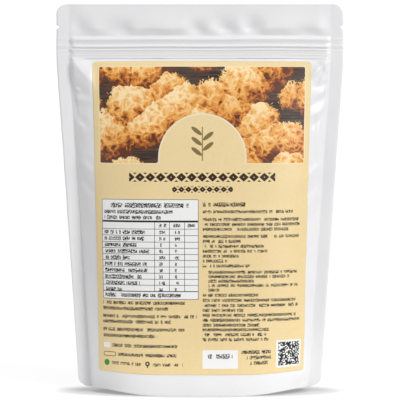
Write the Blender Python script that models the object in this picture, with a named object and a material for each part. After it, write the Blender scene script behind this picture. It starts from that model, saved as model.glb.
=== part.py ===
"""A filled stand-up pouch of white laminate film, with a press-to-close zip and a label on its front.

The pouch stands on the curved rim of its opened base, front towards -Y. Its origin is on the surface
it stands on, midway across its width and depth. Two film panels are welded along both sides, a folded
film gusset makes the base, and a two-part zip runs between the panels near the top.

A point of a panel is given by s, the distance across the flat film from its centreline, and by its
height. Below the zip the panel's heading turns steadily from the centreline to the side seal, which
is what film of a fixed width does when the pouch is filled, so the pouch is narrower where it is deeper.
"""

import functools
import math

import bmesh
import bpy
from mathutils import Vector

MM = 0.001

# Driving dimensions, in metres
POUCH_WIDTH = 170 * MM
POUCH_HEIGHT = 230 * MM
SIDE_SEAL = 7.5 * MM
FILM = 0.5 * MM
GAP = 0.3 * MM
TOP_CORNER = 6 * MM
BOTTOM_CORNER = 7 * MM
NOTCH_BELOW_TOP = 13.6 * MM
NOTCH_DEPTH = 2 * MM
NOTCH_HALF_HEIGHT = 1.3 * MM

# How far the filled panel turns by the side seal at the base, and how the turn gathers towards it
BASE_TURN = 1.5
TURN_POWER = 2.5
SHOULDER = 3 * MM
CORNER_RISE = 2.7 * MM
RISE_FROM = 25 * MM
RISE_TO = 62 * MM
RISE_FADE = 40 * MM

# The zip: the heights of its tape's edges and of the two profiles that show as ridges
ZIP_BOTTOM = POUCH_HEIGHT - 32.6 * MM
ZIP_TOP = POUCH_HEIGHT - 19.2 * MM
RIDGES = (POUCH_HEIGHT - 27.2 * MM, POUCH_HEIGHT - 24.9 * MM)
TAPE_EDGE = 0.8 * MM
TAPE_LIFT = 1.25 * MM
BELOW_TAPE = 0.3 * MM
RIDGE_LIFT = 0.45 * MM
RIDGE_HALF = 0.9 * MM
ZIP_END = 73.5 * MM

# The zip's two strips: a tape each, with a rib or the jaws that hold it
TAPE = 0.4 * MM
TAPE_FACE = 0.7 * MM
STRIP_HALF = 73 * MM
STRIP_BOTTOM = ZIP_BOTTOM + 1.2 * MM
STRIP_TOP = ZIP_TOP - 1.6 * MM
RIB_REACH = 0.35 * MM
RIB_HALF = 0.45 * MM
NECK_HALF = 0.25 * MM
JAW_CLEAR = 0.35 * MM
JAW = 0.55 * MM

# The base gusset, welded to the panels below a curved line that climbs to the side seals
WELD_HEIGHT = 7 * MM
WELD_CLIMB = 31 * MM
FOLD_SAG = 2.2 * MM
FOLD_CLIMB = 36.5 * MM
GUSSET_HALF = 75 * MM

# The label on the front
LABEL_WIDTH = 129 * MM
LABEL_BOTTOM = 12.7 * MM
LABEL_TOP = 195.5 * MM
LABEL_OFFSET = 1.2 * MM
LABEL_CORNER = 2 * MM
LABEL = 0.3 * MM

# The loose dried pieces inside, as one closed mass
FILL_CLEAR = 1.8 * MM
FILL_HALF = 69 * MM
FILL_TOP = 158 * MM
FILL_SLOPE = 26 * MM
FILL_CROWN = 9 * MM
FILL_LUMP = 1.6 * MM
LUMP_ACROSS = 6.1 * MM
LUMP_UP = 7.3 * MM
LUMP_SKEW = 19 * MM

# Shares of the fill's ring where its front ends, its top ends and its back ends
FRONT_END = 0.35
TOP_END = 0.5
BACK_END = 0.85

# How finely the panels are divided, by equal steps of their turning
COLUMN_STEPS = 10
ROW_STEPS = 16

# Places of the rows in a round corner, as shares of its radius from the end edge
CORNER_SHARES = (0, 0.1, 0.29, 0.6, 1)
LABEL_CORNER_SHARES = (0, 0.29, 1)

# The gusset's lines between its fold, at 0, its weld lines, at 1, and its rims, at 2
GUSSET_RUNS = (0.3, 0.65, 0.9, 1, 1.5, 2)

# How finely the fill's rings are divided, and how many of them lie on each side of the centre
FILL_POINTS = 20
FILL_RINGS = 7

# Steps in which the film's turning is added up
TURN_STEPS = 48

# How far from a point its neighbours lie that give a surface's slope there
PANEL_PROBE = 0.4 * MM
GUSSET_PROBE = 0.2 * MM
RUN_PROBE = 0.01

# Edges that turn by more than this look sharp
SHARP_TURN = math.radians(35)

FREE_HALF = POUCH_WIDTH / 2 - SIDE_SEAL
SEAL_HALF_GAP = GAP / 2
FRONT, BACK = -1, 1


def smooth(share):
    """An even ramp from 0 to 1."""
    share = min(1.0, max(0.0, share))
    return share * share * (3 - 2 * share)


def material(name, colour, roughness):
    made = bpy.data.materials.new(name)
    made.use_nodes = True
    shader = made.node_tree.nodes["Principled BSDF"]
    shader.inputs["Base Color"].default_value = (*colour, 1)
    shader.inputs["Roughness"].default_value = roughness
    shader.inputs["Metallic"].default_value = 0
    return made


def turn_at(height):
    """The angle through which a panel's heading turns by the side seal: none above the zip's lower edge."""
    below = max(0.0, ZIP_BOTTOM - height)
    if below == 0:
        return 0.0
    return BASE_TURN * below / math.sqrt((below + SHOULDER) * ZIP_BOTTOM)


@functools.cache
def across(s, turn):
    """Distance sideways, and back from the front's centreline, of the film at s in a level section."""
    sideways = back = 0.0
    for step in range(TURN_STEPS):
        heading = turn * ((step + 0.5) / TURN_STEPS * s / FREE_HALF) ** TURN_POWER
        sideways += math.cos(heading) * s / TURN_STEPS
        back += math.sin(heading) * s / TURN_STEPS
    return sideways, back


def tape_lift(s, height):
    """How far the zip between the panels pushes the film out. It carries on below it, in the filled part."""
    beside = 1 - smooth((abs(s) - ZIP_END) / (FREE_HALF - ZIP_END))
    above = 1 - smooth((height - (ZIP_TOP - TAPE_EDGE)) / TAPE_EDGE)
    below = BELOW_TAPE * (1 - smooth((height - ZIP_BOTTOM) / TAPE_EDGE))
    ridges = sum(max(0.0, 1 - abs(height - ridge) / RIDGE_HALF) for ridge in RIDGES)
    return beside * (TAPE_LIFT * above - below + RIDGE_LIFT * ridges)


def rise(s, height):
    """How far the rim and the film just above it climb towards the sealed corners."""
    fade = max(0.0, 1 - height / RISE_FADE) ** 2
    return CORNER_RISE * fade * smooth((abs(s) - RISE_FROM) / (RISE_TO - RISE_FROM))


def film_point(s, height, side):
    """A point of a panel's outer face."""
    turn = turn_at(height)
    free = min(abs(s), FREE_HALF)
    sideways, back = across(free, turn)
    deepest = across(FREE_HALF, turn)[1]
    x = math.copysign(sideways + abs(s) - free, s)
    out = SEAL_HALF_GAP + FILM + deepest - back + tape_lift(s, height)
    return Vector((x, side * out, height + rise(s, height)))


def outward(s, height, side):
    """The unit normal of a panel's outer face."""
    near = PANEL_PROBE
    along = film_point(s + near, height, side) - film_point(s - near, height, side)
    up = film_point(s, height + near, side) - film_point(s, height - near, side)
    normal = along.cross(up).normalized()
    return normal if normal.y * side > 0 else -normal


def film_offset(s, height, side, distance):
    """A point at a distance outside a panel's outer face, or inside it where the distance is negative."""
    return film_point(s, height, side) + outward(s, height, side) * distance


def film_inner(s, height, side):
    """A point of a panel's inner face, at its outer face's height along the film's cut edges."""
    point = film_offset(s, height, side, -FILM)
    if height <= 0 or height >= POUCH_HEIGHT:
        point.z = film_point(s, height, side).z
    return point


def corner_cut(radius, from_edge):
    """How far a rounded corner draws the side edge in, at a distance from the end edge."""
    if from_edge >= radius:
        return 0.0
    return radius - math.sqrt(radius**2 - (radius - from_edge) ** 2)


def edge_at(height):
    """Half the flat width of the film at a height: rounded corners, and a tear notch in each side."""
    notch = abs(height - (POUCH_HEIGHT - NOTCH_BELOW_TOP)) / NOTCH_HALF_HEIGHT
    cut = max(
        corner_cut(TOP_CORNER, POUCH_HEIGHT - height),
        corner_cut(BOTTOM_CORNER, height),
        NOTCH_DEPTH * max(0.0, 1 - notch),
    )
    return POUCH_WIDTH / 2 - cut


def mirrored(half):
    """Values on both sides of a centre at 0, from those on one side of it."""
    return [-value for value in reversed(half)] + [0.0] + list(half)


def sheet(name, columns, rows, near, far, finish):
    """A closed sheet over a grid of columns and rows. The functions near and far each give a face's points
    from a column and a row."""
    mesh = bmesh.new()
    wide, tall = len(columns) - 1, len(rows) - 1
    bmesh.ops.create_grid(mesh, x_segments=wide, y_segments=tall, size=0.5)
    column = mesh.verts.layers.int.new("column")
    row = mesh.verts.layers.int.new("row")
    for vert in mesh.verts:
        vert[column] = round((vert.co.x + 0.5) * wide)
        vert[row] = round((vert.co.y + 0.5) * tall)
    doubled = bmesh.ops.extrude_face_region(mesh, geom=mesh.faces[:], use_keep_orig=True)
    far_side = {part for part in doubled["geom"] if isinstance(part, bmesh.types.BMVert)}
    for vert in mesh.verts:
        place = far if vert in far_side else near
        vert.co = place(columns[vert[column]], rows[vert[row]])
    return finished(name, mesh, finish)


def finished(name, mesh, finish):
    """The closed mesh as a named object, with its faces outwards."""
    bmesh.ops.recalc_face_normals(mesh, faces=mesh.faces[:])
    if mesh.calc_volume(signed=True) < 0:
        bmesh.ops.reverse_faces(mesh, faces=mesh.faces[:])
    data = bpy.data.meshes.new(name)
    mesh.to_mesh(data)
    mesh.free()
    data.shade_smooth()
    data.set_sharp_from_angle(angle=SHARP_TURN)
    data.materials.append(finish)
    made = bpy.data.objects.new(name, data)
    bpy.context.scene.collection.objects.link(made)
    return made


def panel_rows():
    """Heights of a panel's grid: close at the corners, the notch and the zip, wide in the plain film."""
    rows = [share * BOTTOM_CORNER for share in CORNER_SHARES] + [2 * BOTTOM_CORNER]
    rows += [ZIP_BOTTOM * (1 - (step / ROW_STEPS) ** 2) for step in range(ROW_STEPS - 1, -1, -1)]
    rows += [ZIP_BOTTOM + TAPE_EDGE]
    for ridge in RIDGES:
        rows += [ridge - RIDGE_HALF, ridge, ridge + RIDGE_HALF]
    rows += [ZIP_TOP - TAPE_EDGE, ZIP_TOP]
    notch = POUCH_HEIGHT - NOTCH_BELOW_TOP
    rows += [notch - NOTCH_HALF_HEIGHT, notch, notch + NOTCH_HALF_HEIGHT]
    return rows + [POUCH_HEIGHT - share * TOP_CORNER for share in reversed(CORNER_SHARES)]


def free_columns():
    """Places across a panel between its centreline and its side seal, where its heading has turned by equal
    steps, and one more in the flat middle."""
    turned = [FREE_HALF * (step / COLUMN_STEPS) ** (1 / TURN_POWER) for step in range(1, COLUMN_STEPS + 1)]
    return [turned[0] / 2] + turned


def panel(name, side, finish):
    """A film panel: its seals' outer columns follow the cut edge, and the others stand at fixed places."""
    seal = POUCH_WIDTH / 2
    columns = mirrored(free_columns() + [seal])

    def to_edge(s, height):
        return math.copysign(edge_at(height), s) if abs(s) >= seal else s

    return sheet(
        name,
        columns,
        panel_rows(),
        lambda s, height: film_point(to_edge(s, height), height, side),
        lambda s, height: film_inner(to_edge(s, height), height, side),
        finish,
    )


def weld_height(s):
    """Height of the line where the gusset leaves the panel that it is welded to."""
    return WELD_HEIGHT + WELD_CLIMB * (abs(s) / GUSSET_HALF) ** 3


def gusset_leg(s, run, side, weld, inside):
    """A point of the gusset where it is welded to a panel, between the rim and the weld line."""
    height = weld * (2 - abs(run))
    point = film_offset(s, height, side, -inside)
    if height <= 0:
        point.z = film_point(s, 0, side).z
    return point


def gusset_top(s, run):
    """A point of the gusset's face towards the contents: run goes from -2 at the front rim, past -1 at the
    front weld line and 0 at the fold, to 2 at the back rim."""
    side = FRONT if run < 0 else BACK
    weld = weld_height(s)
    if abs(run) >= 1:
        return gusset_leg(s, run, side, weld, FILM + GAP)
    start = film_offset(s, weld, side, -(FILM + GAP))
    fold = FOLD_SAG + FOLD_CLIMB * (s / GUSSET_HALF) ** 2
    return Vector((start.x, start.y * abs(run), fold + (start.z - fold) * run * run))


def gusset_under(s, run):
    """A point of the gusset's lower face, a film's thickness away from its upper one."""
    if abs(run) >= 1:
        side = FRONT if run < 0 else BACK
        return gusset_leg(s, run, side, weld_height(s) - FILM, 2 * FILM + GAP)
    along = gusset_top(s + GUSSET_PROBE, run) - gusset_top(s - GUSSET_PROBE, run)
    round_fold = gusset_top(s, run + RUN_PROBE) - gusset_top(s, run - RUN_PROBE)
    normal = along.cross(round_fold).normalized()
    return gusset_top(s, run) - normal * math.copysign(FILM, normal.z)


def gusset(finish):
    columns = mirrored([column for column in free_columns() if column < GUSSET_HALF] + [GUSSET_HALF])
    return sheet("bottom_gusset", columns, mirrored(GUSSET_RUNS), gusset_top, gusset_under, finish)


def label(finish):
    """The label: a sheet that lies on the front panel, with small round corners."""
    half = LABEL_WIDTH / 2
    plain = half - LABEL_CORNER
    inner = [column for column in mirrored(free_columns()) if abs(column - LABEL_OFFSET) < plain]
    columns = [LABEL_OFFSET + place for place in (-half, -plain)] + inner
    columns += [LABEL_OFFSET + place for place in (plain, half)]
    corner = [share * LABEL_CORNER for share in LABEL_CORNER_SHARES]
    rows = [LABEL_BOTTOM + up for up in corner]
    rows += [height for height in panel_rows() if rows[-1] < height < LABEL_TOP - LABEL_CORNER]
    rows += [LABEL_TOP - down for down in reversed(corner)]

    def to_edge(s, height):
        if abs(s - LABEL_OFFSET) <= plain:
            return s
        cut = max(
            corner_cut(LABEL_CORNER, height - LABEL_BOTTOM),
            corner_cut(LABEL_CORNER, LABEL_TOP - height),
        )
        most = half - cut
        return LABEL_OFFSET + max(-most, min(most, s - LABEL_OFFSET))

    return sheet(
        "front_label",
        columns,
        rows,
        lambda s, height: film_offset(to_edge(s, height), height, FRONT, GAP),
        lambda s, height: film_offset(to_edge(s, height), height, FRONT, GAP + LABEL),
        finish,
    )


def strip(name, outline, finish):
    """A zip strip: an outline of depth and height, extruded across the pouch."""
    mesh = bmesh.new()
    end = mesh.faces.new([mesh.verts.new((-STRIP_HALF, depth, height)) for depth, height in outline])
    run = bmesh.ops.extrude_face_region(mesh, geom=[end], use_keep_orig=True)
    moved = [part for part in run["geom"] if isinstance(part, bmesh.types.BMVert)]
    bmesh.ops.translate(mesh, verts=moved, vec=(2 * STRIP_HALF, 0, 0))
    return finished(name, mesh, finish)


def rib_strip(finish):
    """The strip on the front panel: two ribs with heads wider than their necks."""
    outline = [(-TAPE_FACE - TAPE, STRIP_BOTTOM), (-TAPE_FACE, STRIP_BOTTOM)]
    for ridge in RIDGES:
        outline += [
            (-TAPE_FACE, ridge - NECK_HALF),
            (-RIB_REACH, ridge - NECK_HALF),
            (-RIB_REACH, ridge - RIB_HALF),
            (RIB_REACH, ridge - NECK_HALF),
            (RIB_REACH, ridge + NECK_HALF),
            (-RIB_REACH, ridge + RIB_HALF),
            (-RIB_REACH, ridge + NECK_HALF),
            (-TAPE_FACE, ridge + NECK_HALF),
        ]
    outline += [(-TAPE_FACE, STRIP_TOP), (-TAPE_FACE - TAPE, STRIP_TOP)]
    return strip("zip_rib_strip", outline, finish)


def groove_strip(finish):
    """The strip on the back panel: jaws on both sides of each rib, clear of its head."""
    lower, upper = RIDGES
    reach = RIB_HALF + JAW_CLEAR
    jaws = (
        (lower - reach - JAW, lower - reach),
        (lower + reach, upper - reach),
        (upper + reach, upper + reach + JAW),
    )
    outline = [(TAPE_FACE + TAPE, STRIP_BOTTOM), (TAPE_FACE, STRIP_BOTTOM)]
    for bottom, top in jaws:
        outline += [
            (TAPE_FACE, bottom),
            (-RIB_REACH, bottom),
            (-RIB_REACH, top),
            (TAPE_FACE, top),
        ]
    outline += [(TAPE_FACE, STRIP_TOP), (TAPE_FACE + TAPE, STRIP_TOP)]
    return strip("zip_groove_strip", outline, finish)


def lump(s, height):
    """The uneven surface of loose pieces: 0 on the highest ones, 1 in the deepest hollows between them."""
    wave = math.sin(s / LUMP_ACROSS) * math.sin(height / LUMP_UP + s / LUMP_SKEW)
    return 0.5 - 0.5 * wave


def fill_point(s, turn_share):
    """A point of the fill's ring at s: the share runs up the front, over the top, down the back and along
    the base."""
    weld = weld_height(s) + FILL_CLEAR
    top = FILL_TOP - FILL_SLOPE * (s / FILL_HALF) ** 2
    if turn_share <= FRONT_END or TOP_END <= turn_share <= BACK_END:
        rising = turn_share <= FRONT_END
        side = FRONT if rising else BACK
        along = turn_share / FRONT_END if rising else (BACK_END - turn_share) / (BACK_END - TOP_END)
        height = weld + (top - weld) * along
        return film_offset(s, height, side, -(FILM + FILL_CLEAR + FILL_LUMP * lump(s, height)))
    if turn_share < TOP_END:
        over = 2 * (turn_share - FRONT_END) / (TOP_END - FRONT_END) - 1
        start = film_offset(s, top, BACK, -(FILM + FILL_CLEAR))
        return Vector((start.x, start.y * over, top + FILL_CROWN * (1 - over * over)))
    under = 1 - 2 * (turn_share - BACK_END) / (1 - BACK_END)
    start = film_offset(s, weld, BACK, -(FILM + FILL_CLEAR))
    floor = gusset_top(s, under)
    return Vector((start.x, start.y * under, floor.z + FILL_CLEAR * (2 - under * under)))


def fill(finish):
    """The dried pieces in the pouch: rings round their mass, from one side to the other, closed at the ends."""
    mesh = bmesh.new()
    before = None
    for place in range(-FILL_RINGS, FILL_RINGS + 1):
        s = FILL_HALF * math.sin(math.pi / 2 * place / FILL_RINGS)
        ring = [mesh.verts.new(fill_point(s, step / FILL_POINTS)) for step in range(FILL_POINTS)]
        edges = [mesh.edges.new((ring[step - 1], ring[step])) for step in range(FILL_POINTS)]
        if before:
            bmesh.ops.bridge_loops(mesh, edges=before + edges)
        before = edges
    bmesh.ops.holes_fill(mesh, edges=[edge for edge in mesh.edges if edge.is_boundary])
    ends = [face for face in mesh.faces if len(face.verts) > 4]
    bmesh.ops.triangulate(mesh, faces=ends)
    return finished("dried_fungus_fill", mesh, finish)


def main():
    for old in list(bpy.data.objects):
        bpy.data.objects.remove(old)
    film = material("white_laminate_film", (0.83, 0.83, 0.84), 0.38)
    paper = material("printed_label_paper", (0.78, 0.64, 0.36), 0.5)
    zip_plastic = material("natural_zip_plastic", (0.86, 0.87, 0.88), 0.3)
    fungus = material("dried_fungus", (0.8, 0.52, 0.2), 0.85)
    panel("front_panel", FRONT, film)
    panel("back_panel", BACK, film)
    gusset(film)
    rib_strip(zip_plastic)
    groove_strip(zip_plastic)
    label(paper)
    fill(fungus)


main()
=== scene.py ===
"""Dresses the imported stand-up pouch: creased white film, a pressed zip, a printed label and the dried fill.

The film is worked out as in the part's source: s is the distance across the flat film from its
centreline, and height is measured up the pouch. Each sheet is a fine grid over those two, laid on the
filled pouch's shape and then given the dents, folds and zip profile that show on its outer face.
"""

import math

import bmesh
import bpy
import numpy as np
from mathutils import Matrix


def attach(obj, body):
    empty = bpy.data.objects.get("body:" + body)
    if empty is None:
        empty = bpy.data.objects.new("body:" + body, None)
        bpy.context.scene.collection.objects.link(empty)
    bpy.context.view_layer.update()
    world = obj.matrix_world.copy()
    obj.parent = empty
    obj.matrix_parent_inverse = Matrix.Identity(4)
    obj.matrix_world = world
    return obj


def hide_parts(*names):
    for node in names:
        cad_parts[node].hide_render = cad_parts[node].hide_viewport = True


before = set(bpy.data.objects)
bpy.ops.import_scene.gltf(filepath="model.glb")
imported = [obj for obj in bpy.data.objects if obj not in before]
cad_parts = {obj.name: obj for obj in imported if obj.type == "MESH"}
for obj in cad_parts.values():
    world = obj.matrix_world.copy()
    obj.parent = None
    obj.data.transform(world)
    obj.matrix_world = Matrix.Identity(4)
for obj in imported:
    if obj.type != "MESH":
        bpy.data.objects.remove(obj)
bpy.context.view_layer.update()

MM = 0.001
FRONT, BACK = -1, 1

# The pouch, as in the part's source, in millimetres
WIDTH, HEIGHT = 170, 230
FREE_HALF = 77.5
TOP_CORNER, BOTTOM_CORNER = 6, 7
NOTCH, NOTCH_DEPTH, NOTCH_HALF = 216.4, 2, 1.3
BASE_TURN, TURN_POWER, TURN_STEPS, SHOULDER = 1.5, 2.5, 40, 3
CORNER_RISE, RISE_FROM, RISE_TO, RISE_FADE = 2.7, 25, 62, 40
ZIP_BOTTOM, ZIP_TOP, ZIP_END, END_CRUMPLE = 197.4, 210.8, 74.4, 76.4
WELD_HEIGHT, WELD_CLIMB, GUSSET_HALF = 7, 31, 75
FOLD_SAG, FOLD_CLIMB = 2.2, 36.5

# The welded rim curls in below a height, less and less over a stretch before the side seals, and the weld
# stands out by its own thickness
RIM_CURL, RIM_CURL_HEIGHT, RIM_CURL_SIDE = 2.4, 14, 15
WELD_STEP, WELD_EDGE = 0.1, 0.8

# Real film and paper are thinner than the solids, which stand in for them
FILM = 0.14
WELDED_HALF = 0.16
GUSSET_GAP = 0.1
LABEL = 0.12
LABEL_GAP = 0.08
LABEL_WIDTH, LABEL_BOTTOM, LABEL_TOP, LABEL_OFFSET, LABEL_CORNER = 129, 12.7, 195.5, 1.2, 2
LABEL_HEIGHT = LABEL_TOP - LABEL_BOTTOM

# The zip seen through the film: how far it stands out at each height, from its tape up to the flap
ZIP_PROFILE = (
    (196.2, 0.95),
    (196.9, 1.0),
    (197.6, 1.55),
    (198.3, 1.3),
    (199.5, 1.22),
    (199.9, 1.3),
    (200.4, 1.22),
    (201.2, 1.22),
    (201.6, 1.3),
    (202.1, 1.22),
    (202.9, 1.62),
    (203.8, 1.16),
    (204.7, 1.95),
    (205.2, 2.0),
    (206.2, 1.14),
    (207.4, 1.25),
    (208.8, 1.72),
    (209.3, 1.75),
    (209.9, 1.4),
    (210.7, 0.5),
    (211.4, 0.1),
)

# The zip's ends in the side seals, crushed: the height of each line, how far it stands out, half its width
CRUSHED_ENDS = ((205.2, 1, 0.7), (203.2, -0.8, 0.5), (209.2, 0.6, 0.8), (200.9, -0.5, 0.5))

# The dried pieces inside: each layer's height, how many lie across and how far apart, how far every other
# layer and the two rows of a layer are set off, their radius, how loosely they lie, and how far off the film
FILL_TWO_DEEP = (31, 57, 83)
FILL_ONE_DEEP = (109, 134)
FILL_ACROSS, FILL_PITCH, FILL_LAYER_SHIFT, FILL_ROW_SHIFT = 4, 29.5, 3, 6
FILL_RADIUS, FILL_LOOSE, FILL_CLEAR = (14.5, 18), 2.5, 2.6

# Creases and dents of the film, in millimetres: from (s, height) to (s, height), how far each reaches on its
# two sides, and how far out it stands
FLAP_DENTS = (
    ((-72, 204), (-77, 228), 6, 13, -2.0),
    ((-47, 201), (-46, 225), 16, 9, -1.7),
    ((-28, 201), (-27, 219), 12, 9, -0.9),
    ((-11, 202), (-10, 219), 9, 6, -0.8),
    ((-2.5, 202), (-2, 225), 9, 8, -2.0),
    ((20, 201), (12, 226), 9, 10, -1.6),
    ((30, 201), (31, 228), 9, 10, -1.9),
    ((46, 202), (46, 218), 8, 8, -0.8),
    ((74, 203), (54, 221), 9, 9, -1.4),
)
CORNER_FOLDS = (
    ((-79, 201), (-59, 178), 8, 12, 2.2),
    ((-79, 200.5), (-61, 180), 2.2, 2.4, 0.4),
    ((-78, 197), (-75, 163), 2.6, 6, -0.75),
    ((-75, 180), (-70.5, 178.5), 1.6, 1.6, 0.6),
    ((-77, 174), (-62, 172.5), 3.5, 3.5, 0.5),
    ((-76.5, 166), (-66, 156), 4, 4, -0.3),
    ((-75, 159.5), (-69, 157), 1.8, 1.8, 0.4),
    ((-76, 139), (-61.5, 129), 3.4, 3.4, 0.3),
    ((-76, 128), (-61.5, 117), 4, 4, -0.35),
    ((79, 201), (65, 186), 3.2, 3.6, 1.3),
    ((78.5, 202), (70.5, 182), 1.7, 2.8, 1.2),
    ((78, 202), (74.6, 174), 1.5, 1.5, 0.9),
    ((69, 197), (77, 184), 2.6, 3.6, -0.35),
    ((66, 180), (79, 184), 3, 2.4, -0.3),
    ((68, 174), (79, 182.5), 2.2, 3, 0.42),
    ((62, 167), (79, 178), 3.6, 3, -0.4),
    ((64, 161), (79, 173), 2.6, 3.4, 0.4),
    ((61, 153), (78, 167), 3.8, 3.2, -0.4),
    ((71.5, 128), (72, 168), 2.6, 3, 0.55),
    ((66, 132), (68.5, 165), 3.4, 3, -0.5),
    ((62, 125), (78, 139), 3, 3, 0.5),
    ((61, 114), (77, 127), 4, 3.4, -0.8),
    ((62, 106), (78, 121), 3, 3, 0.5),
    ((62, 97), (78, 112), 3.2, 3, -0.5),
    ((63, 80), (78, 99), 3.6, 3, 0.45),
    ((75.3, 92), (75.8, 6), 0.9, 0.9, 0.18),
    ((-75.3, 92), (-75.8, 6), 0.9, 0.9, 0.14),
)
BACK_FOLDS = (
    ((-77, 199), (-55, 171), 5, 5, 1.0),
    ((-78, 194), (-70, 150), 4, 4, -0.9),
    ((-76, 160), (-52, 150), 4, 4, 0.5),
    ((-75, 140), (-58, 120), 4.5, 4.5, -0.6),
    ((78, 199), (60, 178), 4, 4, 0.9),
    ((78, 192), (70, 160), 3.5, 3.5, -0.9),
    ((76, 166), (50, 158), 4, 4, 0.5),
    ((75, 132), (57, 118), 4.5, 4.5, -0.5),
    ((-30, 197), (-22, 150), 6, 6, -0.5),
    ((18, 197), (28, 140), 7, 7, -0.6),
    ((-10, 196), (-2, 168), 5, 5, 0.4),
    ((-60, 60), (-20, 84), 6, 6, 0.4),
    ((22, 52), (64, 80), 7, 7, 0.45),
    ((-50, 100), (10, 92), 7, 7, -0.4),
)
BACK_DENTS = (
    ((-62, 208), (-58, 224), 5, 5, -0.9),
    ((-33, 208), (-38, 222), 4.5, 4.5, -0.7),
    ((-4, 208), (2, 220), 5, 5, -0.6),
    ((28, 208), (24, 224), 4.5, 4.5, -0.8),
    ((60, 208), (66, 222), 5, 5, -0.9),
)


def ramp(share):
    """An even ramp from 0 to 1."""
    share = np.clip(share, 0, 1)
    return share * share * (3 - 2 * share)


def turn_at(height):
    """How far the film has turned by the side seals, in radians: flat at the zip, most at the base."""
    below = np.maximum(0, ZIP_BOTTOM - height)
    return BASE_TURN * below / np.sqrt((below + SHOULDER) * ZIP_BOTTOM)


def across(s, turn):
    """Distance sideways, and back from the front's centreline, of the film at s in a level section."""
    sideways = np.zeros(np.broadcast(s, turn).shape)
    back = sideways.copy()
    for step in range(TURN_STEPS):
        heading = turn * ((step + 0.5) / TURN_STEPS * s / FREE_HALF) ** TURN_POWER
        sideways += np.cos(heading) * s / TURN_STEPS
        back += np.sin(heading) * s / TURN_STEPS
    return sideways, back


def film(s, height, side):
    """Points of a panel's outer face before it is creased."""
    turn = turn_at(height)
    free = np.minimum(np.abs(s), FREE_HALF)
    sideways, back = across(free, turn)
    deepest = across(np.full_like(free, FREE_HALF), turn)[1]
    x = np.copysign(sideways + np.abs(s) - free, s)
    out = WELDED_HALF + deepest - back
    fade = np.clip(1 - height / RISE_FADE, 0, 1) ** 2
    rise = CORNER_RISE * fade * ramp((np.abs(s) - RISE_FROM) / (RISE_TO - RISE_FROM))
    return np.stack([x, side * out, height + rise], axis=-1)


def weld_line(s):
    """Height up to which the gusset is welded to a panel: it climbs towards the side seals."""
    return WELD_HEIGHT + WELD_CLIMB * (np.abs(s) / GUSSET_HALF) ** 3


def fold_line(s):
    """Height of the gusset's fold, which sags in the middle."""
    return FOLD_SAG + FOLD_CLIMB * (s / GUSSET_HALF) ** 2


def facing(place, s, height, side, step=0.3):
    """Unit normals, out of the pouch, of a surface given by a place function."""
    along = place(s + step, height) - place(s - step, height)
    up = place(s, height + step) - place(s, height - step)
    normal = np.cross(along, up)
    normal /= np.linalg.norm(normal, axis=-1, keepdims=True)
    return normal * -side


def swell(s, height, wave, seed):
    """Soft unevenness from about -1 to 1, made of crossing waves of about one length."""
    waves, most = 9, 4
    random = np.random.default_rng(seed)
    total = np.zeros(np.broadcast(s, height).shape)
    for _ in range(waves):
        angle, phase = random.uniform(0, 2 * math.pi, 2)
        number = 2 * math.pi / (wave * random.uniform(0.7, 1.5))
        total += np.sin((s * math.cos(angle) + height * math.sin(angle)) * number + phase)
    return total / most


def crease(s, height, start, end, left, right, lift, soft):
    """A fold or dent along a line: sharp along its middle unless it is soft, and fading at its ends."""
    sharpness = 1.7
    run = np.subtract(end, start)
    length = math.hypot(*run)
    share = ((s - start[0]) * run[0] + (height - start[1]) * run[1]) / length**2
    away = ((s - start[0]) * run[1] - (height - start[1]) * run[0]) / length
    inside = np.clip(1 - np.abs(away) / np.where(away < 0, left, right), 0, 1)
    section = ramp(inside) if soft else inside**sharpness
    return lift * section * np.clip(4 * share * (1 - share), 0, 1)


def zip_relief(s, height, seed):
    """The zip's tape and ridges through the film, crimped flat where they run into the side seals."""
    wobble, wobble_wave = 0.14, 45
    end_uneven, end_wave, side_shift = 0.7, 4.5, 9
    crumple, crumple_wave, crumple_half = 0.36, 3, 1.2
    tape_fades_from, tape_fade = 150, 46
    heights, lifts = zip(*ZIP_PROFILE)
    lift = np.interp(height + wobble * swell(s, height * 0, wobble_wave, seed), heights, lifts)
    end = ZIP_END + end_uneven * swell(np.sign(s) * side_shift, height, end_wave, seed + 4)
    beside = 1 - ramp((np.abs(s) - end) / (FREE_HALF + 0.3 - end))
    below = ramp((height - tape_fades_from) / tape_fade)
    at_end = np.exp(-(((np.abs(s) - END_CRUMPLE) / crumple_half) ** 2))
    across_zip = ramp((height - ZIP_BOTTOM + 1) / 2) * ramp((ZIP_TOP + 0.5 - height) / 1.5)
    rucked = np.maximum(swell(s, height, crumple_wave, seed + 5), 0)
    return lift * beside * below + crumple * rucked * at_end * across_zip


def under_label(s, height):
    """1 under the paper label, fading to 0 just past its edges."""
    past_side, side_fade, past_end, end_fade = 2, 5, 1, 3
    beside = ramp((LABEL_WIDTH / 2 + past_side - np.abs(s - LABEL_OFFSET)) / side_fade)
    below = ramp((LABEL_TOP + past_end - height) / end_fade)
    return beside * below * ramp((height - LABEL_BOTTOM + past_end) / end_fade)


def flap_relief(s, height, dents, seed):
    """The flap above the zip: puffed, least so at the mouth, with dents that are deepest at their foot."""
    foot, rise, half, side_fade = 0.9, 6.5, 78, 9
    puff, uneven, uneven_wave, stretch = 1.7, 0.4, 42, 0.4
    mouth_from, mouth_loss = 214, 0.8
    deepen, dent_fade = 1.5, 14
    flap = ramp((height - ZIP_TOP + foot) / rise) * ramp((half - np.abs(s)) / side_fade)
    puffed = puff + uneven * swell(s, height * stretch, uneven_wave, seed)
    lift = flap * puffed * (1 - mouth_loss * ramp((height - mouth_from) / (HEIGHT - mouth_from)))
    for start, end, left, right, out in dents:
        fade = deepen * ramp((end[1] + 1 - height) / dent_fade)
        lift += flap * fade * crease(s, height, start, end, left, right, out, True)
    return lift


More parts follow.
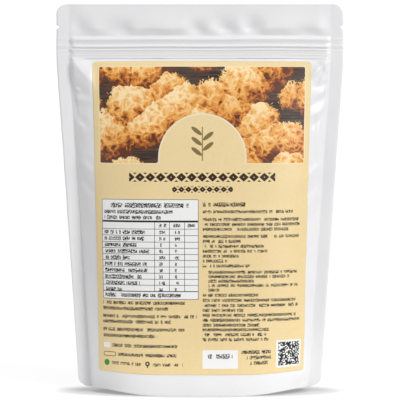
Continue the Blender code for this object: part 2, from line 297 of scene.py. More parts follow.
def panel_relief(s, height, dents, folds, seed, held):
    """How far a panel's outer face stands off its plain shape. Where it is held, from 0 to 1, its folds are
    flatter."""
    soft_from, held_loss = 2.5, 0.8
    uneven, uneven_wave, uneven_from = 0.22, 31, 30
    pucker, pucker_wave, pucker_from, pucker_rise = 0.1, 11, 60, 8
    lift = zip_relief(s, height, seed) + flap_relief(s, height, dents, seed + 1)
    free = ramp((FREE_HALF - np.abs(s)) / 3) * ramp((ZIP_BOTTOM + 0.5 - height) / 2.5)
    loose = free * (1 - held_loss * held)
    for start, end, left, right, out in folds:
        lift += loose * crease(s, height, start, end, left, right, out, left > soft_from)
    lift += free * uneven * swell(s, height, uneven_wave, seed + 2) * ramp(height / uneven_from)
    at_side = ramp((np.abs(s) - pucker_from) / pucker_rise)
    lift += loose * pucker * swell(s, height, pucker_wave, seed + 3) * at_side
    between_seals = np.abs(s) < FREE_HALF
    lift += WELD_STEP * ramp((weld_line(s) - height) / WELD_EDGE + 0.5) * between_seals
    curled = between_seals * ramp((FREE_HALF - np.abs(s)) / RIM_CURL_SIDE)
    return lift - RIM_CURL * curled * ramp(1 - height / RIM_CURL_HEIGHT)


def seal_relief(s, height, side):
    """The side seals: faint lines of the sealing bars, the crushed ends of the zip, and a slight bend. The
    left seal leans back, more so low down."""
    bar, bar_pitch, crush_depth = 0.02, 1.9, 0.2
    left_lean, left_more, more_below, more_fade, right_lean = 0.13, 0.1, 125, 55, 0.02
    wave, wave_length, wave_seed = 0.13, 46, 77
    inside = ramp((np.abs(s) - FREE_HALF) / 0.8)
    bars = bar * np.sin(np.abs(s) * 2 * math.pi / bar_pitch)
    crush = sum(out * np.exp(-(((height - at) / half) ** 2)) for at, out, half in CRUSHED_ENDS)
    lean = np.where(s < 0, left_lean + left_more * ramp((more_below - height) / more_fade), right_lean)
    bend = wave * swell(s * 0.2, height, wave_length, wave_seed) + lean * (np.abs(s) - FREE_HALF)
    return inside * -side * (bars + crush_depth * crush + bend)


def front_face(s, height):
    """Points of the front panel's finished outer face."""
    plain = film(s, height, FRONT)
    lift = panel_relief(s, height, FLAP_DENTS, CORNER_FOLDS, 11, under_label(s, height))
    lift += seal_relief(s, height, FRONT)
    return plain + facing(lambda a, b: film(a, b, FRONT), s, height, FRONT) * lift[..., None]


def back_face(s, height):
    """Points of the back panel's finished outer face."""
    plain = film(s, height, BACK)
    lift = panel_relief(s, height, BACK_DENTS, BACK_FOLDS, 23, 0) + seal_relief(s, height, BACK)
    return plain + facing(lambda a, b: film(a, b, BACK), s, height, BACK) * lift[..., None]


def graded(*spans):
    """Grid lines from the first place on, in spans that each give an end and a rough spacing."""
    lines = [spans[0][0]]
    for end, apart in spans[1:]:
        count = max(1, round((end - lines[-1]) / apart))
        lines += list(np.linspace(lines[-1], end, count + 1)[1:])
    return np.array(lines)


def edge_at(height):
    """Half the flat width of the film at a height, with its rounded corners, notches and slight wobble."""
    wobble, wobble_wave, wobble_seed = 0.08, 24, 5
    cut = np.zeros_like(height)
    for radius, up in ((TOP_CORNER, HEIGHT - height), (BOTTOM_CORNER, height)):
        inside = np.clip(radius - up, 0, radius)
        cut = np.maximum(cut, radius - np.sqrt(radius**2 - inside**2))
    notch = NOTCH_DEPTH * np.clip(1 - np.abs(height - NOTCH) / NOTCH_HALF, 0, 1)
    uneven = wobble * (swell(0, height, wobble_wave, wobble_seed) - 1)
    return WIDTH / 2 - np.maximum(cut, notch) + uneven


def panel_grid():
    """s and height over a panel: columns close at the crease, and in the seals squeezed to the cut edge."""
    half = graded((0,), (62, 1.4), (70, 0.9), (FREE_HALF, 0.55), (FREE_HALF + 1, 0.5), (WIDTH / 2, 1.1))
    columns = np.concatenate([-half[:0:-1], half])
    rows = graded(
        (0,), (8, 0.6), (178, 1.4), (195.5, 0.7), (212, 0.26), (NOTCH - NOTCH_HALF, 0.8),
        (NOTCH, 0.4), (NOTCH + NOTCH_HALF, 0.4), (HEIGHT - TOP_CORNER, 0.9), (HEIGHT, 0.4),
    )
    s, height = np.meshgrid(columns, rows)
    reach = (edge_at(height) - FREE_HALF) / (WIDTH / 2 - FREE_HALF)
    in_seal = np.maximum(0, np.abs(s) - FREE_HALF)
    return np.sign(s) * (np.minimum(np.abs(s), FREE_HALF) + in_seal * reach), height


def label_grid():
    """s and height over the label, on the panel's own grid lines where it can, with small round corners."""
    half = LABEL_WIDTH / 2
    columns = LABEL_OFFSET + graded((-half,), (-half + 0.3, 0.3), (-half + LABEL_CORNER, 0.6),
                                    (half - LABEL_CORNER, 1.3), (half - 0.3, 0.6), (half, 0.3))
    rows = graded((LABEL_BOTTOM,), (LABEL_BOTTOM + LABEL_CORNER, 0.4), (178, 1.4),
                  (LABEL_TOP - LABEL_CORNER, 0.7), (LABEL_TOP, 0.4))
    s, height = np.meshgrid(columns, rows)
    cut = np.zeros_like(height)
    for up in (LABEL_TOP - height, height - LABEL_BOTTOM):
        inside = np.clip(LABEL_CORNER - up, 0, LABEL_CORNER)
        cut = np.maximum(cut, LABEL_CORNER - np.sqrt(LABEL_CORNER**2 - inside**2))
    most = half - cut
    return LABEL_OFFSET + np.clip(s - LABEL_OFFSET, -most, most), height


def label_face(s, height):
    """Points of the label's printed face, which follows the front panel."""
    return front_face(s, height) + facing(front_face, s, height, FRONT) * (LABEL + LABEL_GAP)


def gusset_grid():
    """s and run over the gusset, as gusset_face has them: closest at the fold and along both welds."""
    columns = graded((-GUSSET_HALF,), (GUSSET_HALF, 1.3))
    runs = graded((-2,), (-1, 0.04), (-0.08, 0.06), (0.08, 0.02), (1, 0.06), (2, 0.04))
    return np.meshgrid(columns, runs)


def gusset_leg(s, run, side, distance):
    """Points of the gusset where it is welded to a panel, at a distance inside the panel's outer face."""
    face = front_face if side == FRONT else back_face
    height = weld_line(s) * (2 - np.abs(run))
    return face(s, height) - facing(face, s, height, side) * distance


def gusset_rucks(s, run):
    """How far the opened gusset's film stands up: uneven, with the old fold and two slack creases in it."""
    uneven, uneven_wave, uneven_seed, stretch = 0.35, 12, 31, 9
    fold_out, fold_half = 0.5, 0.06
    slack, slack_half, slack_stretch = 0.5, 3, 12
    rucks = uneven * swell(s, run * stretch, uneven_wave, uneven_seed)
    rucks += fold_out * np.exp(-((run / fold_half) ** 2))
    for start, end, out in (((-60, -9), (-10, 3), slack), ((14, 7), (62, -6), -slack)):
        rucks += crease(s, run * slack_stretch, start, end, slack_half, slack_half, out, False)
    return rucks


def gusset_face(s, run):
    """Points of the gusset's face towards the contents: run goes from -2 at the front rim, past -1 at the
    front weld line and 0 at the fold, to 2 at the back rim."""
    inside = FILM + GUSSET_GAP
    front = gusset_leg(s, np.minimum(run, -1), FRONT, inside)
    back = gusset_leg(s, np.maximum(run, 1), BACK, inside)
    start = np.where((run < 0)[..., None], front, back)
    share = np.abs(run)
    fold = fold_line(s)
    middle = np.stack([start[..., 0], start[..., 1] * share, fold + (start[..., 2] - fold) * share**2], -1)
    middle[..., 2] += gusset_rucks(s, run) * np.clip(1 - share, 0, 1) * np.clip(3 * share + 0.4, 0, 1)
    return np.where((share >= 1)[..., None], start, middle)


def linear(hexed):
    """An sRGB hex colour as linear RGBA."""
    shares = [int(hexed[at : at + 2], 16) / 255 for at in (1, 3, 5)]
    return (*[c / 12.92 if c <= 0.04045 else ((c + 0.055) / 1.055) ** 2.4 for c in shares], 1)


def node(tree, kind, *values, out=0, feeds=None, stops=None, **settings):
    """Adds a shader node with its settings and colour stops, and feeds its inputs in order or by name."""
    made = tree.nodes.new("ShaderNode" + kind)
    for name, value in settings.items():
        setattr(made, name, value)
    if stops:
        steps = made.color_ramp.elements
        for at, (position, shade) in enumerate(stops):
            step = steps[at] if at < 2 else steps.new(position)
            step.position = position
            step.color = shade
    for key, value in [*enumerate(values), *(feeds or {}).items()]:
        if isinstance(value, bpy.types.NodeSocket):
            tree.links.new(value, made.inputs[key])
        elif value is not None:
            made.inputs[key].default_value = value
    return made.outputs[out]


def new_material(name):
    """A material with an empty Principled shader, with its node tree and that shader."""
    made = bpy.data.materials.new(name)
    made.use_nodes = True
    return made, made.node_tree, made.node_tree.nodes["Principled BSDF"]


def laminate_film():
    """White PET and PE laminate, cast and heat sealed: satin, cool white, with a faint orange peel."""
    made, tree, shader = new_material("white_laminate_film")
    place = node(tree, "TexCoord", out="Object")
    mm = node(tree, "VectorMath", place, (1000, 1000, 1000), operation="MULTIPLY")
    cloud = node(tree, "TexNoise", feeds={"Vector": mm, "Scale": 1 / 38, "Detail": 3})
    tone = node(tree, "ValToRGB", cloud, stops=((0.3, linear("#DFDFE1")), (0.7, linear("#E5E5E6"))))
    tree.links.new(tone, shader.inputs["Base Color"])
    haze = node(tree, "TexNoise", feeds={"Vector": mm, "Scale": 1 / 9, "Detail": 4})
    satin = node(tree, "MapRange", haze, 0.3, 0.7, 0.29, 0.37)
    tree.links.new(satin, shader.inputs["Roughness"])
    peel = node(tree, "TexNoise", feeds={"Vector": mm, "Scale": 1 / 1.4, "Detail": 2})
    rucks = node(tree, "TexNoise", feeds={"Vector": mm, "Scale": 1 / 7, "Detail": 3, "Distortion": 1.2})
    height = node(tree, "Math", rucks, 3, peel, operation="MULTIPLY_ADD")
    bump = node(tree, "Bump", feeds={"Strength": 0.25, "Distance": 0.00006, "Height": height})
    tree.links.new(bump, shader.inputs["Normal"])
    shader.inputs["IOR"].default_value = 1.55
    return made


def zip_plastic():
    """Natural low-density polyethylene, extruded: milky, with fine drawn lines along the strip."""
    made, tree, shader = new_material("natural_polyethylene")
    place = node(tree, "TexCoord", out="Object")
    lines = node(tree, "VectorMath", place, (20, 4000, 4000), operation="MULTIPLY")
    drawn = node(tree, "TexNoise", feeds={"Vector": lines, "Scale": 1, "Detail": 2})
    tone = node(tree, "ValToRGB", drawn, stops=((0.2, linear("#DDE1E4")), (0.8, linear("#EEF1F3"))))
    tree.links.new(tone, shader.inputs["Base Color"])
    bump = node(tree, "Bump", feeds={"Strength": 0.3, "Distance": 0.00003, "Height": drawn})
    tree.links.new(bump, shader.inputs["Normal"])
    shader.inputs["Roughness"].default_value = 0.32
    shader.inputs["IOR"].default_value = 1.51
    return made


def dried_fungus():
    """Dried jelly fungus: crisp, frilled, cream to amber, darker in its folds, where painted shade follows
    the hollows of its bump.
    """
    made, tree, shader = new_material("dried_jelly_fungus")
    place = node(tree, "TexCoord", out="Object")
    mm = node(tree, "VectorMath", place, (1000, 1000, 1000), operation="MULTIPLY")
    frill = node(tree, "TexVoronoi", feeds={"Vector": mm, "Scale": 1 / 4.5}, feature="SMOOTH_F1")
    noise = node(tree, "TexNoise", feeds={"Vector": mm, "Scale": 1 / 6, "Detail": 5, "Distortion": 2})
    amber_and_hollow_shade = node(tree, "Math", frill, noise, operation="MULTIPLY")
    # One value gives both the colour and the bump: the fungus's own cream to amber, and painted shade where
    # the bump is low
    shades = (
        (0.1, linear("#A5682C")),
        (0.2, linear("#DDA65C")),
        (0.32, linear("#F2D29A")),
        (0.5, linear("#FBEBCB")),
    )
    tree.links.new(node(tree, "ValToRGB", amber_and_hollow_shade, stops=shades), shader.inputs["Base Color"])
    bump = node(tree, "Bump", feeds={"Strength": 0.9, "Distance": 0.0012, "Height": amber_and_hollow_shade})
    tree.links.new(bump, shader.inputs["Normal"])
    shader.inputs["Roughness"].default_value = 0.82
    return made


# The label's print, in millimetres from its lower left corner
PICTURE = (3.2, 123.2, 125.9, 180.3)
BADGE, BADGE_RADIUS = (64.7, 126.9), 26
TITLE_BAND = (64.6, 115.5, 43.1, 2.65)
SUBTITLE_BAND = (64.8, 108.4, 17.8, 1.8)
TABLE = (4.4, 44, 62.5, 102.6)
WHITE_BOXES = ((4.4, 15, 8.9, 18.2), (64.8, 3.7, 85.5, 14.5), (108.5, 3.2, 125.8, 19.8))
SPRIG, SPRIG_HALF, SPRIG_FOOT, SPRIG_TOP = 64.7, 0.3, 125, 145
LEAVES = ((-1, 128), (1, 131), (-1, 134), (1, 137), (-1, 140))
CHECKS, CHECK = (109.7, 4.4, 124.6, 18.7), 0.7

# Blocks of plain strokes where the photo's label has small print: first line's height, pitch, start, ends
SMALL_PRINT = (
    (95.3, 2.8, 64.9, (118.9,)),
    (90.8, 2.87, 64.9, (122.7, 123.4, 116)),
    (80.9, 2.87, 64.9, (122.9, 87.2, 100.8, 103.3, 86.1, 79.1, 92.6)),
    (60, 2.6, 68.2, (123.4, 116.5, 95.2, 122.6, 74.7)),
    (46.6, 3, 64.9, (97.5, 121.2, 122.9)),
    (37.8, 2.9, 64.9, (88.7, 121.4, 124.2, 98.1)),
    (26.4, 2.87, 64.9, (104.3, 102.4, 103.8)),
)
LEFT_PRINT = (
    (41.9, 3.4, 4.3, (54.5, 44.6)),
    (34, 3.2, 4.3, (61.3, 46.3)),
    (26.2, 3.8, 4.3, (54.2, 38.1)),
    (16.6, 3, 10.3, (50,)),
    (11.2, 3, 14.3, (49.8,)),
    (5.8, 3, 10.2, (28.6,)),
)
ASIDE_PRINT = ((13.2, 3.2, 87.6, (105.1,)), (10, 3.2, 90.7, (105.1,)), (6.8, 3.2, 92.8, (105.1,)))
TABLE_PRINT = (
    (95.2, 3.3, 6, (47.2, 40.2)),
    (87.3, 2, 39.2, (43.6,)),
    (83.3, 3.72, 6, (31, 30.5, 26, 33.5, 22, 32, 32.5, 29, 28, 17)),
    (46.4, 2, 6, (52,)),
)
FIGURES = ((83.3, 3.72, 39.4, (43, 43, 41.5, 41.5, 43, 41.5, 41.5, 41.5, 43, 41.5)),)
MORE_FIGURES = ((83.3, 3.72, 48.6, (51.5, 51.5, 49.8, 49.8, 51, 49.8, 49.8, 49.8, 51, 49.8)),)
# All the blocks: half a line's height, how wide one letter's stroke is, and the lines
PRINT = (
    (0.92, 1, SMALL_PRINT),
    (0.98, 1.15, LEFT_PRINT),
    (1.15, 1.1, TABLE_PRINT),
    (1.5, 1.45, ((99, 2, 10.2, (56.6,)),)),
    (1.35, 1.45, ((99.5, 2, 64.9, (92.6,)),)),
    (1.1, 1.2, ASIDE_PRINT),
    (1.05, 1.1, ((87.3, 2, 47.6, (52.3,)),)),
    (1.05, 1.1, ((87.3, 2, 55.9, (60.4,)),)),
    (0.9, 1.15, ((5.8, 3, 35.6, (53.2,)),)),
    (1.45, 1.3, ((10.8, 3, 67.9, (82.3,)),)),
    (1.05, 0.95, FIGURES),
    (1.05, 0.95, MORE_FIGURES),
)
# The table's rules: from left to right, the thick one under its head, the one over its foot, the others
RULES_LEFT, RULES_RIGHT, RULE_HALF = 4.8, 62.1, 0.15
HEAD_RULE, FOOT_RULE = (89.1, 90.2), (48.5, 49)
ROW_RULES = (85.2, 81.4, 77.6, 74.0, 70.4, 66.9, 63.1, 59.4, 55.9, 52.4)
COLUMN_RULES = (36.7, 45.4, 54.3)


def printed_label():
    """Coated label paper, printed and laid on by machine: tan ground, satin, crisp ink."""
    made, tree, shader = new_material("printed_label_paper")
    uv = node(tree, "UVMap", uv_map="flat")
    mm = node(tree, "VectorMath", uv, (LABEL_WIDTH, LABEL_HEIGHT, 0), operation="MULTIPLY")
    split = tree.nodes.new("ShaderNodeSeparateXYZ")
    tree.links.new(mm, split.inputs[0])
    u, v = split.outputs[0], split.outputs[1]

    def math_node(operation, *values):
        return node(tree, "Math", *values, operation=operation)

    def beyond(left, bottom, right, top, corner):
        """Distance from a box drawn in by its corner's radius: below that radius inside the round box."""
        centre = ((left + right) / 2, (bottom + top) / 2, 0)
        reach = ((right - left) / 2 - corner, (top - bottom) / 2 - corner, 9)
        offset = node(tree, "VectorMath", mm, centre, operation="SUBTRACT")
        offset = node(tree, "VectorMath", offset, operation="ABSOLUTE")
        offset = node(tree, "VectorMath", offset, reach, operation="SUBTRACT")
        offset = node(tree, "VectorMath", offset, (0, 0, 0), operation="MAXIMUM")
        return node(tree, "VectorMath", offset, operation="LENGTH", out="Value")

    def box(left, bottom, right, top, corner=0.05):
        return math_node("LESS_THAN", beyond(left, bottom, right, top, corner), corner)

    def lay(ground, ink, mask):
        """Prints an ink over the ground where the mask is 1."""
        return node(tree, "Mix", feeds={0: mask, 6: ground, 7: ink}, out=2, data_type="RGBA")

    def strokes(half, letter, blocks):
        """Plain strokes of uneven length along lines, in place of small print: they spell nothing. A colour
        ramp looks up each line's start, height and end, as shares of how far right and high they may be."""
        most_right, most_high = 130, 110
        thin, thick, gaps, blots = 0.7, 0.4, 0.13, 0.46
        lines = sorted(
            (first - pitch * at, start, end)
            for first, pitch, start, ends in blocks
            for at, end in enumerate(ends)
        )
        stops = []
        for at, (height, start, end) in enumerate(lines):
            below = (height + lines[at - 1][0]) / 2 if at else 0
            stops.append((below / most_high, (start / most_right, height / most_high, end / most_right, 1)))
        found = node(tree, "ValToRGB", math_node("DIVIDE", v, most_high), stops=stops)
        found.node.color_ramp.interpolation = "CONSTANT"
        parts = tree.nodes.new("ShaderNodeSeparateColor")
        tree.links.new(found, parts.inputs[0])
        line = math_node("MULTIPLY", parts.outputs[1], most_high)
        letters = math_node("DIVIDE", u, letter)
        spot = node(tree, "CombineXYZ", math_node("FLOOR", letters), math_node("MULTIPLY", line, 7.3))
        dice = node(tree, "TexWhiteNoise", spot, noise_dimensions="2D")
        near = math_node("ABSOLUTE", math_node("SUBTRACT", v, line))
        mask = math_node("LESS_THAN", near, math_node("MULTIPLY_ADD", dice, half * thick, half * thin))
        mask = math_node("MULTIPLY", mask, math_node("GREATER_THAN", dice, gaps))
        spot = node(tree, "CombineXYZ", math_node("MULTIPLY", u, 2.3), math_node("MULTIPLY_ADD", line, 5, v))
        scribble = node(tree, "TexNoise", feeds={"Vector": spot, "Scale": 1, "Detail": 1})
        mask = math_node("MULTIPLY", mask, math_node("GREATER_THAN", scribble, blots))
        after = math_node("GREATER_THAN", u, math_node("MULTIPLY", parts.outputs[0], most_right))
        before = math_node("LESS_THAN", u, math_node("MULTIPLY", parts.outputs[2], most_right))
        return math_node("MULTIPLY", mask, math_node("MULTIPLY", after, before))

    def band(centre_u, centre_v, half_long, half_high):
        """A traditional chain of lozenges, with small points between them."""
        pitch, far_left = half_high * 2.3, 200
        ring_at, ring_half, corner_from = 0.56, 0.42, 1.6
        x = math_node("PINGPONG", math_node("ADD", u, far_left * pitch - centre_u), pitch / 2)
        x = math_node("DIVIDE", x, pitch / 2)
        y = math_node("DIVIDE", math_node("ABSOLUTE", math_node("SUBTRACT", v, centre_v)), half_high)
        size = math_node("ADD", x, y)
        ring = math_node("COMPARE", size, ring_at, ring_half)
        corner = math_node("GREATER_THAN", size, corner_from)
        inside = box(centre_u - half_long, centre_v - half_high, centre_u + half_long, centre_v + half_high)
        return math_node("MULTIPLY", math_node("MAXIMUM", ring, corner), inside)

    fibre = node(tree, "TexNoise", feeds={"Vector": mm, "Scale": 1 / 2.5, "Detail": 6, "Roughness": 0.7})
    ground = node(tree, "ValToRGB", fibre, stops=((0.3, linear("#E3CB97")), (0.7, linear("#E7D09E"))))

    # The picture's place: frilled cream and amber rosettes on dark wood, a pattern of its own
    mound_size, mound_loose, mound_fall, mound_uneven = 23, 0.8, -0.5, 0.14
    lit_from, curls = (-0.008, 0.026, 0), ((7.2, -0.85), (3.3, -0.75))
    grain_size, grain_depth, level, gap_ragged, gap_from = 1.1, 0.42, 0.6, 0.3, 0.84
    warp = node(tree, "TexNoise", feeds={"Vector": mm, "Scale": 1 / 5, "Detail": 5}, out="Color")
    warp = node(tree, "VectorMath", warp, (7, 7, 0), (-3.5, -3.5, 0), operation="MULTIPLY_ADD")
    bent = node(tree, "VectorMath", mm, warp, operation="ADD")
    bent = node(tree, "VectorMath", bent, (9, 31, 0), operation="ADD")
    mound = node(tree, "TexVoronoi",
                 feeds={"Vector": bent, "Scale": 1 / mound_size, "Randomness": mound_loose})
    middle = mound.node.outputs["Position"]
    lit = node(tree, "VectorMath", bent, middle, operation="SUBTRACT")
    lit = node(tree, "VectorMath", lit, lit_from, operation="DOT_PRODUCT", out="Value")
    shade = node(tree, "SeparateColor", mound.node.outputs["Color"])
    glow = math_node("MULTIPLY_ADD", math_node("MULTIPLY", mound, mound), mound_fall, lit)
    glow = math_node("MULTIPLY_ADD", shade, mound_uneven, glow)
    for size, weight in curls:
        curl = node(tree, "TexVoronoi", feeds={"Vector": bent, "Scale": 1 / size}, feature="DISTANCE_TO_EDGE")
        glow = math_node("MULTIPLY_ADD", curl, weight, glow)
    grain = node(tree, "TexNoise", feeds={"Vector": bent, "Scale": 1 / grain_size, "Detail": 3})
    glow = math_node("MULTIPLY_ADD", grain, grain_depth, glow)
    glow = math_node("ADD", glow, level)
    shades = (
        (0.2, linear("#5C2808")),
        (0.36, linear("#AC5E1A")),
        (0.5, linear("#D98F38")),
        (0.66, linear("#EAB161")),
        (0.9, linear("#F3D9A8")),
    )
    frilled = node(tree, "ValToRGB", glow, stops=shades)
    long_grain = node(tree, "VectorMath", mm, (0.06, 1.1, 1), operation="MULTIPLY")
    wood = node(tree, "TexNoise", feeds={"Vector": long_grain, "Scale": 1, "Detail": 4, "Distortion": 0.6})
    boards = node(tree, "ValToRGB", wood, stops=((0.35, linear("#140C08")), (0.7, linear("#5E4230"))))
    gap = math_node("GREATER_THAN", math_node("MULTIPLY_ADD", grain, gap_ragged, mound), gap_from)
    picture = lay(frilled, boards, gap)
    edge = 0.55
    frame_line = box(*PICTURE, 1.2)
    left, bottom, right, top = PICTURE
    picture_mask = box(left + edge, bottom + edge, right - edge, top - edge, 0.9)
    print_colour = lay(ground, linear("#E9D9AE"), frame_line)
    print_colour = lay(print_colour, picture, picture_mask)

    # The badge's place: a plain tan arch with a cream edge and a simple sprig
    from_badge = node(tree, "VectorMath", mm, (*BADGE, 0), operation="DISTANCE", out="Value")
    disc = math_node("MULTIPLY", math_node("LESS_THAN", from_badge, BADGE_RADIUS), frame_line)
    print_colour = lay(print_colour, linear("#E6DBC1"), disc)
    inner = math_node("MULTIPLY", math_node("LESS_THAN", from_badge, BADGE_RADIUS - 0.9), frame_line)
    print_colour = lay(print_colour, ground, inner)
    sprig = box(SPRIG - SPRIG_HALF, SPRIG_FOOT, SPRIG + SPRIG_HALF, SPRIG_TOP)
    for side, foot in LEAVES:
        near = node(tree, "Mapping", mm, vector_type="TEXTURE",
                    feeds={"Location": (SPRIG + side * 3.4, foot + 2.6, 0),
                           "Rotation": (0, 0, side * math.radians(38)), "Scale": (3.8, 1.25, 1)})
        leaf = node(tree, "VectorMath", near, operation="LENGTH", out="Value")
        sprig = math_node("MAXIMUM", sprig, math_node("LESS_THAN", leaf, 1))
    print_colour = lay(print_colour, linear("#7C6A3C"), sprig)

    ink = linear("#2C1200")
    print_colour = lay(print_colour, ink, band(*TITLE_BAND))
    print_colour = lay(print_colour, ink, band(*SUBTITLE_BAND))

    # The white boxes, and the table with its frame and rules
    white = linear("#EAEAE9")
    dark = linear("#0E0D0C")
    table = beyond(*TABLE, 0.8)
    print_colour = lay(print_colour, linear("#5B6470"), math_node("LESS_THAN", table, 0.8))
    print_colour = lay(print_colour, white, math_node("LESS_THAN", table, 0.45))
    for place in WHITE_BOXES:
        print_colour = lay(print_colour, white, box(*place, 0.4))
    rows = [HEAD_RULE, FOOT_RULE, *((height - RULE_HALF, height + RULE_HALF) for height in ROW_RULES)]
    ruled = [box(RULES_LEFT, below, RULES_RIGHT, above) for below, above in rows]
    ruled += [box(place - RULE_HALF, FOOT_RULE[0], place + RULE_HALF, HEAD_RULE[1]) for place in COLUMN_RULES]
    rules = ruled[0]
    for rule in ruled[1:]:
        rules = math_node("MAXIMUM", rules, rule)
    print_colour = lay(print_colour, dark, rules)

    # Lines of plain strokes in place of the small print
    printed = strokes(*PRINT[0])
    for block in PRINT[1:]:
        printed = math_node("MAXIMUM", printed, strokes(*block))
    print_colour = lay(print_colour, dark, printed)

    # The square at the lower right: a plain scatter of small checks
    spot = node(tree, "VectorMath", mm, (CHECK, CHECK, CHECK), operation="DIVIDE")
    spot = node(tree, "VectorMath", spot, operation="FLOOR")
    dice = node(tree, "TexWhiteNoise", spot, noise_dimensions="2D")
    checks = math_node("MULTIPLY", math_node("GREATER_THAN", dice, 0.31), box(*CHECKS))
    print_colour = lay(print_colour, dark, checks)

    # Small marks before the lines at the lower left
    from_disc = node(tree, "VectorMath", mm, (6.7, 5.8, 0), operation="DISTANCE", out="Value")
    print_colour = lay(print_colour, linear("#2F8C25"), math_node("LESS_THAN", from_disc, 1.9))
    pill = math_node("COMPARE", beyond(4.3, 9.8, 13, 12.6, 1.2), 1.02, 0.18)
    print_colour = lay(print_colour, dark, pill)
    from_mark = node(tree, "VectorMath", mm, (32.5, 6.3, 0), operation="DISTANCE", out="Value")
    ring = math_node("COMPARE", from_mark, 0.95, 0.4)
    print_colour = lay(print_colour, dark, math_node("MAXIMUM", ring, box(32.2, 3.8, 32.8, 5.1)))

    tree.links.new(print_colour, shader.inputs["Base Color"])
    bump = node(tree, "Bump", feeds={"Strength": 0.12, "Distance": 0.00004, "Height": fibre})
    tree.links.new(bump, shader.inputs["Normal"])
    shader.inputs["Roughness"].default_value = 0.42
    return made


def sheet(name, s, cross, points, thickness, finish, outward):
    """A sheet over a grid of points, in millimetres, thickened away from the side that it faces. Its UV map
    is the flat sheet."""
    rows, columns = s.shape
    mesh = bmesh.new()
    bmesh.ops.create_grid(mesh, x_segments=columns - 1, y_segments=rows - 1, size=0.5)
    flat = mesh.loops.layers.uv.new("flat")
    wide = (s - s.min()) / (s.max() - s.min())
    tall = (cross - cross.min()) / (cross.max() - cross.min())
    places = {}
    for vert in mesh.verts:
        places[vert] = (round((vert.co.y + 0.5) * (rows - 1)), round((vert.co.x + 0.5) * (columns - 1)))
        vert.co = points[places[vert]] * MM
    for face in mesh.faces:
        for loop in face.loops:
            loop[flat].uv = (wide[places[loop.vert]], tall[places[loop.vert]])
    if not outward:
        bmesh.ops.reverse_faces(mesh, faces=mesh.faces[:])
    data = bpy.data.meshes.new(name)
    mesh.to_mesh(data)
    mesh.free()
    data.shade_smooth()
    data.materials.append(finish)
    made = bpy.data.objects.new(name, data)
    bpy.context.scene.collection.objects.link(made)
    wall = made.modifiers.new("wall", "SOLIDIFY")
    wall.thickness = thickness * MM
    wall.offset = -1
    return made


def dress(piece, replaced):
    """Puts a piece on the pouch's only body, in place of a CAD node."""
    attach(piece, "root")
    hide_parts(replaced)


def gusset_floor(s, depth):
    """Height of the gusset's upper face at s and at a distance from the pouch's middle plane."""
    at_weld = film(s, weld_line(s), BACK)
    share = np.clip(np.abs(depth) / at_weld[..., 1], 0, 1)
    return fold_line(s) + (at_weld[..., 2] - fold_line(s)) * share**2


def rosette(mesh, s, height, depth, radius, random):
    """One dried fungus: a ball thrown into deep wavy frills, pressed by the film and the base beside it."""
    waves, fewest, most, frill_edge, sharpness = 7, 4.5, 7, 2.4, 1.2
    core, frill, squat = 0.68, 0.36, (1, 1, 0.92)
    firmness, least_room, frill_lift = 6, 0.5, 0.4
    ball = bmesh.ops.create_icosphere(mesh, subdivisions=4, radius=1)["verts"]
    out = np.array([vert.co for vert in ball])
    total = np.zeros(len(ball))
    for _ in range(waves):
        number = random.normal(size=3)
        number *= random.uniform(fewest, most) / np.linalg.norm(number)
        total += np.sin(out @ number + random.uniform(0, 2 * math.pi))
    frills = (1 - np.clip(np.abs(total) / frill_edge, 0, 1)) ** sharpness
    reach = radius * (core + frill * frills)[:, None] * out * squat
    at, up, deep = s + reach[:, 0], height + reach[:, 2], depth + reach[:, 1]
    room = film(at, up, BACK)
    half = np.maximum(room[:, 1] - FILL_CLEAR, least_room)
    deep = deep / (1 + np.abs(deep / half) ** firmness) ** (1 / firmness)
    up = np.maximum(up, gusset_floor(at, deep) + FILL_CLEAR * (1 + frill_lift * frills))
    for vert, place in zip(ball, np.stack([room[:, 0], deep, up], axis=-1)):
        vert.co = place * MM


def build_fill(finish):
    """The loose dried pieces, in layers: two rows deep in the wide part of the pouch, one row above it."""
    random = np.random.default_rng(41)
    mesh = bmesh.new()
    for layer, height in enumerate(FILL_TWO_DEEP + FILL_ONE_DEEP):
        layer_shift = FILL_LAYER_SHIFT if layer % 2 else -FILL_LAYER_SHIFT
        for row in (-0.5, 0.5) if height in FILL_TWO_DEEP else (0,):
            for place in range(FILL_ACROSS):
                s = (place - (FILL_ACROSS - 1) / 2) * FILL_PITCH + FILL_ROW_SHIFT * row + layer_shift
                room = film(np.array([s]), np.array([height]), BACK)[0, 1]
                shift = random.uniform(-FILL_LOOSE, FILL_LOOSE, 2)
                radius = random.uniform(*FILL_RADIUS)
                rosette(mesh, s + shift[0], height + shift[1], row * room, radius, random)
    data = bpy.data.meshes.new("dried_pieces")
    mesh.to_mesh(data)
    mesh.free()
    data.shade_smooth()
    data.materials.append(finish)
    made = bpy.data.objects.new("dried_pieces", data)
    bpy.context.scene.collection.objects.link(made)
    dress(made, "dried_fungus_fill")


def build_pouch():
    """The three sheets of film, the label and the contents, each in place of its solid."""
    film_finish = laminate_film()
    s, height = panel_grid()
    front = sheet("front_film", s, height, front_face(s, height), FILM, film_finish, True)
    dress(front, "front_panel")
    back = sheet("back_film", s, height, back_face(s, height), FILM, film_finish, False)
    dress(back, "back_panel")
    s, run = gusset_grid()
    base = sheet("base_gusset_film", s, run, gusset_face(s, run), FILM, film_finish, True)
    dress(base, "bottom_gusset")
    s, height = label_grid()
    label = sheet("label_sheet", s, height, label_face(s, height), LABEL, printed_label(), True)
    dress(label, "front_label")
    build_fill(dried_fungus())


def finish_zip():
    """The zip's strips keep their solids, which lie inside the film, and get their real finish."""
    finish = zip_plastic()
    for name in ("zip_rib_strip", "zip_groove_strip"):
        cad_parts[name].data.materials.clear()
        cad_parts[name].data.materials.append(finish)


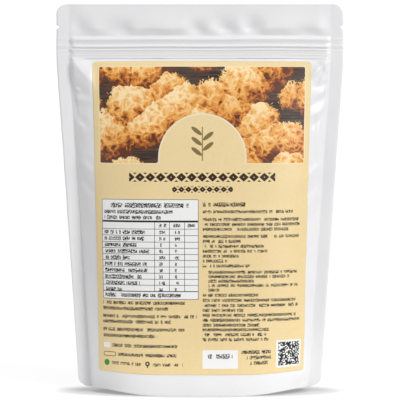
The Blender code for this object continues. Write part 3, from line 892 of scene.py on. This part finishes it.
def studio_white():
    """Matt white laminate board whose glow is painted light, as of a packshot table lit from below behind the
    pouch:
    it runs out to clean white there, and is pale grey under the pouch, in front of it and to the sides, with
    a painted shadow where the glow is dimmed around the pouch's base."""
    made, tree, shader = new_material("studio_white_board")
    shader.inputs["Base Color"].default_value = linear("#C2C2C2")
    shader.inputs["Roughness"].default_value = 0.9
    shader.inputs["Specular IOR Level"].default_value = 0
    shader.inputs["Emission Color"].default_value = (1, 1, 1, 1)
    place = node(tree, "TexCoord", out="Object")
    split = tree.nodes.new("ShaderNodeSeparateXYZ")
    tree.links.new(place, split.inputs[0])

    def fade(value, start, end, before, after):
        return node(tree, "MapRange", value, start, end, before, after, interpolation_type="SMOOTHSTEP")

    brightest, painted_shadow_at_base = 0.69, 0.35
    behind = fade(split.outputs[1], -0.12, -0.03, 0, 1)
    between = fade(node(tree, "Math", split.outputs[0], operation="ABSOLUTE"), 0.35, 0.8, brightest, 0)
    # The glow is dimmed around the pouch's base: a painted shadow under and beside it
    around = node(tree, "VectorMath", place, (0.078, 0.032, 1), operation="DIVIDE")
    around = node(tree, "VectorMath", around, operation="LENGTH", out="Value")
    glow = node(tree, "Math", behind, between, operation="MULTIPLY")
    glow = node(tree, "Math", glow, fade(around, 0.9, 1.25, painted_shadow_at_base, 1), operation="MULTIPLY")
    tree.links.new(glow, shader.inputs["Emission Strength"])
    return made


def build_stage():
    """A white table that runs back and curves up into a white wall, 2.6 m behind the pouch."""
    front, wall_at, wall_top, width, radius, steps = -3, 2.6, 1, 7, 0.4, 16
    profile = [(front, 0), (wall_at - radius, 0)]
    for step in range(1, steps + 1):
        angle = math.pi / 2 * step / steps
        profile.append((wall_at - radius + radius * math.sin(angle), radius - radius * math.cos(angle)))
    profile.append((wall_at, wall_top))
    mesh = bmesh.new()
    bmesh.ops.create_grid(mesh, x_segments=1, y_segments=len(profile) - 1, size=0.5)
    for vert in mesh.verts:
        depth, height = profile[round((vert.co.y + 0.5) * (len(profile) - 1))]
        vert.co = (vert.co.x * width, depth, height)
    data = bpy.data.meshes.new("studio_table")
    mesh.to_mesh(data)
    mesh.free()
    data.shade_smooth()
    data.materials.append(studio_white())
    table = bpy.data.objects.new("studio_table", data)
    bpy.context.scene.collection.objects.link(table)


def soft_light(name, turn, rise, distance, power):
    """A large soft light aimed at the pouch's middle: turn is from the front to the right, in degrees."""
    middle = 0.12
    lamp = bpy.data.lights.new(name, "AREA")
    lamp.shape = "SQUARE"
    lamp.size = 1
    lamp.energy = power
    made = bpy.data.objects.new(name, lamp)
    turn, rise = math.radians(turn), math.radians(rise)
    level = distance * math.cos(rise)
    made.location = (level * math.sin(turn), -level * math.cos(turn), middle + distance * math.sin(rise))
    made.rotation_euler = (math.pi / 2 - rise, 0, turn)
    bpy.context.scene.collection.objects.link(made)


def build_light():
    """A key light from the right, a weak one from above, a fill from the left, and a soft grey sky."""
    soft_light("key_light", 44, 26, 2.2, 31.5)
    soft_light("top_light", 0, 66, 2.0, 4.5)
    soft_light("fill_light", -55, 20, 2.2, 6)
    world = bpy.data.worlds.new("soft_grey")
    world.use_nodes = True
    world.node_tree.nodes["Background"].inputs["Color"].default_value = linear("#FFFFFF")
    world.node_tree.nodes["Background"].inputs["Strength"].default_value = 0.42
    bpy.context.scene.world = world
    bpy.context.scene.view_settings.view_transform = "Standard"


def build_camera():
    """The photo's view: level with the label, a little above it, from far away."""
    distance, tilt, aim = 1.6, math.radians(3), 0.1139
    camera = bpy.data.cameras.new("photo_camera")
    camera.lens = 242.4
    camera.sensor_width = 36
    made = bpy.data.objects.new("photo_camera", camera)
    made.location = (0, -distance * math.cos(tilt), aim + distance * math.sin(tilt))
    made.rotation_euler = (math.pi / 2 - tilt, 0, 0)
    bpy.context.scene.collection.objects.link(made)
    bpy.context.scene.camera = made


build_pouch()
finish_zip()
build_stage()
build_light()
build_camera()
